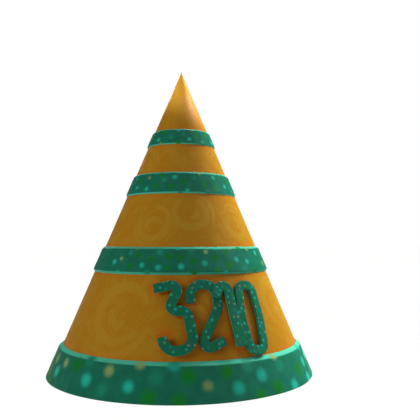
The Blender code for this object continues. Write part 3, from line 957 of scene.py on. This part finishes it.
def eyelets(look):
    """The brass eyelets, each rolled over inside a washer."""
    roll = SWEATBAND_INNER - 1.0 * MM
    flange = GAP + EYELET_METAL
    middle, reach = (ROLL_RADIUS + EYELET_BARREL) / 2, (ROLL_RADIUS - EYELET_BARREL) / 2
    turns = [math.pi * k / 8 for k in range(7, 0, -1)]
    lip = [(middle - reach * math.cos(t), roll - reach * 0.75 * math.sin(t)) for t in turns]
    eyelet = [
        (EYELET_BORE, flange - 0.12 * MM),
        (EYELET_BORE + 0.12 * MM, flange),
        (EYELET_FLANGE - 0.12 * MM, flange),
        (EYELET_FLANGE, flange - 0.1 * MM),
        (EYELET_FLANGE, GAP),
        (EYELET_BARREL, GAP),
        (EYELET_BARREL, roll + 0.05 * MM),
        (ROLL_RADIUS - 0.05 * MM, roll + 0.05 * MM),
        (ROLL_RADIUS, roll),
        *lip,
        (EYELET_BORE + 0.15 * MM, roll - 0.2 * MM),
        (EYELET_BORE, roll),
    ]
    face, soft = SWEATBAND_INNER - 0.35 * MM, 0.1 * MM
    washer = [
        (EYELET_HOLE, face),
        (WASHER_RADIUS - soft, face),
        (WASHER_RADIUS, face - soft),
        (WASHER_RADIUS - soft, face - EYELET_METAL),
        (EYELET_HOLE + 0.5 * MM, face - EYELET_METAL),
        (EYELET_HOLE, face - EYELET_METAL + soft),
    ]
    for (spot, out), word in zip(eyelet_axes(), ("left", "right")):
        spin = Vector((0, 0, 1)).rotation_difference(Vector(out)).to_matrix().to_4x4()
        place = Matrix.Translation(Vector(spot)) @ spin
        for name, node, profile in (
            ("eyelet", "eyelet", eyelet),
            ("washer", "eyelet_washer", washer),
        ):
            sections = turned(profile, ROUND_STEPS, place)
            piece = sweep(f"{name}_{word}_brass", sections, look, closed=True)
            place_piece(piece, "brass", f"{node}_{word}")


# ---------------------------------------------------------------- numerals

# Each numeral's line as (x, y, corner radius) in millimetres. Then, by name, its line, its place on
# the pattern as (across, up, turn in degrees), and how far its back stands off.
THREE = [(-7, 16.4, 0), (6.4, 16.4, 2.9), (-2.8, 3, 2.9), (6.8, 2.4, 4)]
THREE += [(6.8, -16.6, 6), (-7, -16.6, 6), (-7, -8.6, 0)]
TWO = [(-6.8, 7.5, 0), (-6.8, 16.8, 6.7), (6.8, 16.8, 6.7), (6.8, 4, 6)]
TWO += [(-6.6, -18.4, 2.8), (8, -12.4, 0)]
ONE = [(-6.6, 9.2, 0), (1.4, 20.8, 2.7), (0, -17.2, 0)]
ZERO = [(-6, 0, 30), (-4.6, 17.2, 4.3), (4.6, 17.2, 4.3)]
ZERO += [(-x, -y, radius) for x, y, radius in ZERO]
NUMERALS = {
    "three": (THREE, (-20.2, 0.4, 4), HIGH_NUMERAL),
    "two": (TWO, (-4.6, -0.4, 0), LOW_NUMERAL),
    "one": (ONE, (8.6, 0.7, 8), HIGH_NUMERAL),
    "zero": (ZERO, (20.6, -0.8, 3), LOW_NUMERAL),
}


def numeral_path(corners, closed):
    """Evenly spaced points along a line with rounded corners."""
    path = rounded(corners, lambda turn, radius: max(3, math.ceil(turn * radius / 0.4)))
    path = np.array(path + path[:1] if closed else path) * MM
    lengths = np.r_[0, np.cumsum(np.linalg.norm(np.diff(path, axis=0), axis=1))]
    steps = round(lengths[-1] / NUMERAL_STEP)
    wanted = np.linspace(0, lengths[-1], steps + 1)
    if closed:
        wanted = wanted[:-1]
    else:
        soft = np.array([0.04, 0.13, 0.26]) * MM
        wanted = np.unique(np.r_[wanted, soft, lengths[-1] - soft])
    even = np.c_[np.interp(wanted, lengths, path[:, 0]), np.interp(wanted, lengths, path[:, 1])]
    return even, wanted, lengths[-1]


def turned_flat(points, place):
    """A numeral's own points at its place on the flat pattern."""
    x, y = points[..., 0], points[..., 1]
    turn = math.radians(place[2])
    across = x * math.cos(turn) - y * math.sin(turn) + place[0] * MM
    up = x * math.sin(turn) + y * math.cos(turn) + place[1] * MM
    return np.stack([across, up], axis=-1)


def roll_on(points, place, standoff):
    """Rolls a numeral's own points onto the cone, by way of its place on the flat pattern."""
    flat = turned_flat(points, place)
    across, below = flat[..., 0], PATTERN_SLANT - flat[..., 1]
    slant = np.hypot(across, below)
    azimuth = PATTERN_AZIMUTH + np.arctan2(across, below) / math.sin(HALF_ANGLE)
    radius = slant * math.sin(HALF_ANGLE) + standoff * math.cos(HALF_ANGLE)
    z = HEIGHT - slant * math.cos(HALF_ANGLE) + standoff * math.sin(HALF_ANGLE)
    return np.stack([radius * np.sin(azimuth), -radius * np.cos(azimuth), z], axis=-1)


def numeral_outline():
    """Across and up, each from -1 or 0 to 1: a foam stroke's section with soft upper corners."""
    half, thick, soft = STROKE / 2, NUMERAL_THICKNESS, 0.34 * MM
    crisp = 0.06 * MM
    corners = [(-half, 0.0, crisp), (-half, thick, soft), (half, thick, soft), (half, 0.0, crisp)]
    return outline_points(corners, 0.45 * MM)


def numeral_dots(even, place, base, seed):
    """Fine dots all over a numeral's face, well apart."""
    draw = np.random.RandomState(seed)
    dots = []
    for _ in range(len(even) * 3 // 4):
        spot = even[draw.randint(len(even))] + draw.uniform(-1, 1, 2) * STROKE / 2
        point = roll_on(spot, place, base + NUMERAL_THICKNESS)
        if all(np.linalg.norm(point - other) > NUMERAL_DOT_SPACING for other, _ in dots):
            dots.append((point, DOT_MIX[(len(dots) * 5) % len(DOT_MIX)]))
    return dots


def pad_rings(thick, draw):
    """Rings up a pad, as along, across and height, with the foam set in between its films."""
    size = np.array([PAD_LENGTH, PAD_WIDTH]) / 2
    signs = (-1, -1), (1, -1), (1, 1), (-1, 1)
    corners = [(x * size[0], y * size[1], 0.25 * MM) for x, y in signs]
    ring = outline_points(corners, 0.22 * MM)
    levels = np.linspace(PAD_FILM, thick - PAD_FILM, 2 + max(3, round(thick / (0.2 * MM))))
    heights = np.r_[0.0, levels[0], levels, levels[-1], thick]
    sunk = np.zeros(len(heights))
    share = (levels - levels[0]) / (levels[-1] - levels[0])
    sunk[2:-2] = 0.1 * MM + 0.12 * MM * np.sin(math.pi * share)
    ragged = draw.uniform(0, 0.06, (len(heights), len(ring))) * MM * (sunk > 0)[:, None]
    spread = ring[None] * (1 - (sunk[:, None] + ragged)[..., None] / size)
    return np.dstack([spread, np.broadcast_to(heights[:, None], spread.shape[:2])])


def adhesive_pads(word, even, along, side, place, base, look, seed):
    """The two foam pads behind a numeral, where the CAD has them."""
    draw = np.random.RandomState(seed)
    spots = roll_on(even, place, base / 2)
    for letter in "ab":
        node = f"pad_numeral_{word}_{letter}"
        low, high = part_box(node)
        middle = along[np.linalg.norm(spots - np.array((low + high) / 2), axis=1).argmin()]
        rings = pad_rings(base - 2 * GAP, draw)
        at = middle + rings[..., 0]
        flat = np.stack([np.interp(at, along, even[:, k]) for k in (0, 1)], axis=-1)
        out = np.stack([np.interp(at, along, side[:, k]) for k in (0, 1)], axis=-1)
        sections = roll_on(flat + out * rings[..., 1:2], place, GAP + rings[..., 2])
        piece = sweep(f"foam_{node}", sections, look)
        place_piece(piece, "adhesive_foam", node)


def numerals(look, pads):
    across, up = numeral_outline().T
    on_face = smooth_step((up - (NUMERAL_THICKNESS - 0.45 * MM)) / (0.25 * MM))
    for seed, (word, (corners, place, base)) in enumerate(NUMERALS.items()):
        closed = corners[0][2] > 0
        even, along, whole = numeral_path(corners, closed)
        if closed:
            tangent = np.roll(even, -1, axis=0) - np.roll(even, 1, axis=0)
            soft = np.zeros(len(even))
        else:
            tangent = np.gradient(even, axis=0)
            from_end = np.clip(np.minimum(along, whole - along) / NUMERAL_SOFT_END, 0, 1)
            soft = 1 - np.sqrt(1 - (1 - from_end) ** 2)
        tangent /= np.linalg.norm(tangent, axis=1)[:, None]
        side = np.c_[-tangent[:, 1], tangent[:, 0]]
        uneven = 0.05 * MM * ripple(along / whole * 2 * math.pi, 90 + seed, 2, 11)
        width = (1 + uneven / (STROKE / 2)) * (1 - soft * NUMERAL_SOFT_END / (STROKE / 2))
        height = up - soft[:, None] * NUMERAL_SOFT_END * (up > NUMERAL_THICKNESS / 2)
        flat = even[:, None, :] + side[:, None, :] * (across * width[:, None])[..., None]
        sections = roll_on(flat, place, base + height)
        dots = numeral_dots(even, place, base, 100 + seed)
        away, tints = dot_fields(sections, dots, NUMERAL_DOT, seed)
        # The numerals' sides take the lighter cut core, partly painted highlight, at 0.4.
        cut = np.broadcast_to(0.4 - 0.4 * on_face, sections.shape[:2]).ravel()
        fields = {"dot": away, "tint": tints, "cut": cut}
        piece = sweep(f"foam_numeral_{word}", sections, look, closed=closed, fields=fields)
        place_piece(piece, "teal_foam", f"numeral_{word}")
        adhesive_pads(word, even, along, side, place, base, pads, 110 + seed)


# ---------------------------------------------------------------- stage

WHITE = (1.0, 1.0, 1.0, 1.0)


def floor():
    """A pale disc, finer near the hat and coarser far away."""
    glow = {"Emission_Color": WHITE, "Emission_Strength": 0.045}
    look, tree = new_look("pale_floor", Specular_IOR_Level=0.1, **glow)
    grain = noise(tree, 30.0)
    colour = mix(tree, ranged(tree, grain, 0.3, 0.7), (0.90, 0.90, 0.895), (0.93, 0.93, 0.925))
    finish_look(look, colour, ranged(tree, grain, 0.3, 0.7, 0.8, 0.9))
    radii = [0.05 * 1.35**k for k in range(19)]
    turns = stations(96)[:-1] + math.pi
    rim = np.c_[np.cos(turns), np.sin(turns), 0 * turns]
    points = np.concatenate([np.zeros((1, 3)), *(r * rim for r in radii)])
    rings = 1 + np.arange(len(radii) * len(turns)).reshape(len(radii), len(turns))
    faces = [(0, *pair) for pair in zip(rings[0].tolist(), np.roll(rings[0], -1).tolist())]
    for here, there in zip(rings, rings[1:]):
        corners = here, there, np.roll(there, -1), np.roll(here, -1)
        faces += np.stack(corners, axis=-1).tolist()
    made = make_mesh("floor", points, faces, look)
    return made


def surround():
    """A white world to the camera, and a weak even light to everything else."""
    world = bpy.data.worlds.new("surround")
    bpy.context.scene.world = world
    world.use_nodes = True
    tree = world.node_tree
    seen = tree.nodes["Background"]
    seen.inputs["Color"].default_value = WHITE
    seen.inputs["Strength"].default_value = 1.0
    lit = add(tree, "Background", {"Color": WHITE, "Strength": 0.1})
    by_camera = add(tree, "LightPath").outputs["Is Camera Ray"]
    both = add(tree, "MixShader", {0: by_camera, 1: lit.outputs[0], 2: seen.outputs[0]})
    tree.links.new(both.outputs[0], tree.nodes["World Output"].inputs["Surface"])


# Round soft boxes aimed at the hat: azimuth, elevation, size in metres, level, and whether they show
# in diffuse and in glossy light. Level 1 lights a white card facing the lamp to full white.
LAMP_DISTANCE = 1.3
LAMPS = {
    "key": (124, 40, 0.62, 3.3, True, False),
    "sheen": (84, 42, 0.5, 0.5, False, True),
    "fill": (-54, 20, 0.6, 0.46, True, False),
    "back": (-168, 25, 0.6, 0.25, True, True),
}


def lamps(ground):
    """The lamps. The floor has a sun of its own, so its brightness is apart from the hat's."""

    def receivers(name, state):
        listed = bpy.data.collections.new(name)
        listed.objects.link(ground)
        listed.collection_objects[0].light_linking.link_state = state
        return listed

    all_but_floor = receivers("not_lit_by_lamps", "EXCLUDE")
    floor_only = receivers("lit_from_overhead", "INCLUDE")

    def lamp(name, kind, energy, lit):
        light = bpy.data.lights.new(name, kind)
        light.energy = energy
        made = bpy.data.objects.new(name, light)
        made.light_linking.receiver_collection = lit
        bpy.context.scene.collection.objects.link(made)
        return made

    for name, (azimuth, elevation, size, level, diffuse, glossy) in LAMPS.items():
        made = lamp(name, "AREA", level * (math.pi * LAMP_DISTANCE) ** 2, all_but_floor)
        made.data.shape, made.data.size = "DISK", size
        turn, rise = math.radians(azimuth), math.radians(elevation)
        across = math.cos(rise)
        out = Vector((math.sin(turn) * across, -math.cos(turn) * across, math.sin(rise)))
        made.location = Vector((0, 0, 0.08)) + out * LAMP_DISTANCE
        made.rotation_euler = out.to_track_quat("Z", "Y").to_euler()
        made.visible_diffuse, made.visible_glossy = diffuse, glossy
    for name, level, lit in (("floor", 0.98, floor_only), ("hat", 0.25, all_but_floor)):
        sun = lamp(f"overhead_{name}", "SUN", level * math.pi, lit)
        sun.data.angle = math.radians(50)


CAMERA_DISTANCE, CAMERA_HEIGHT = 0.3479, 0.0755
CAMERA_RISE, CAMERA_TURN = math.radians(3.08), math.radians(-2.87)
CAMERA_SENSOR, CAMERA_LENS = 36, 49.63


def camera():
    """A little above the lower band, looking slightly up, with the hat left of the middle."""
    view = bpy.data.cameras.new("camera")
    view.sensor_width, view.lens = CAMERA_SENSOR, CAMERA_LENS
    made = bpy.data.objects.new("camera", view)
    made.location = (0.0, -CAMERA_DISTANCE, CAMERA_HEIGHT)
    made.rotation_euler = (math.pi / 2 + CAMERA_RISE, 0.0, CAMERA_TURN)
    bpy.context.scene.collection.objects.link(made)
    bpy.context.scene.camera = made


camera()
lamps(floor())
surround()
bpy.context.scene.view_settings.view_transform = "Standard"

gold, foam = gold_paper(), teal_foam("dotted_teal_foam", 1.0)
tape = paper_tape()
cover(gold)
tip(gold)
bands(foam)
brim_strip(foam)
board(greyboard())
inner_seam_tape(tape)
mouth_tape(tape)
lining, seams = sweat_felt(felt()), stitching(thread())
eyelets(brass())
# The numerals get a darker copy of the foam, as painted shade.
numerals(teal_foam("numeral_teal_foam", 0.92), pad_foam())
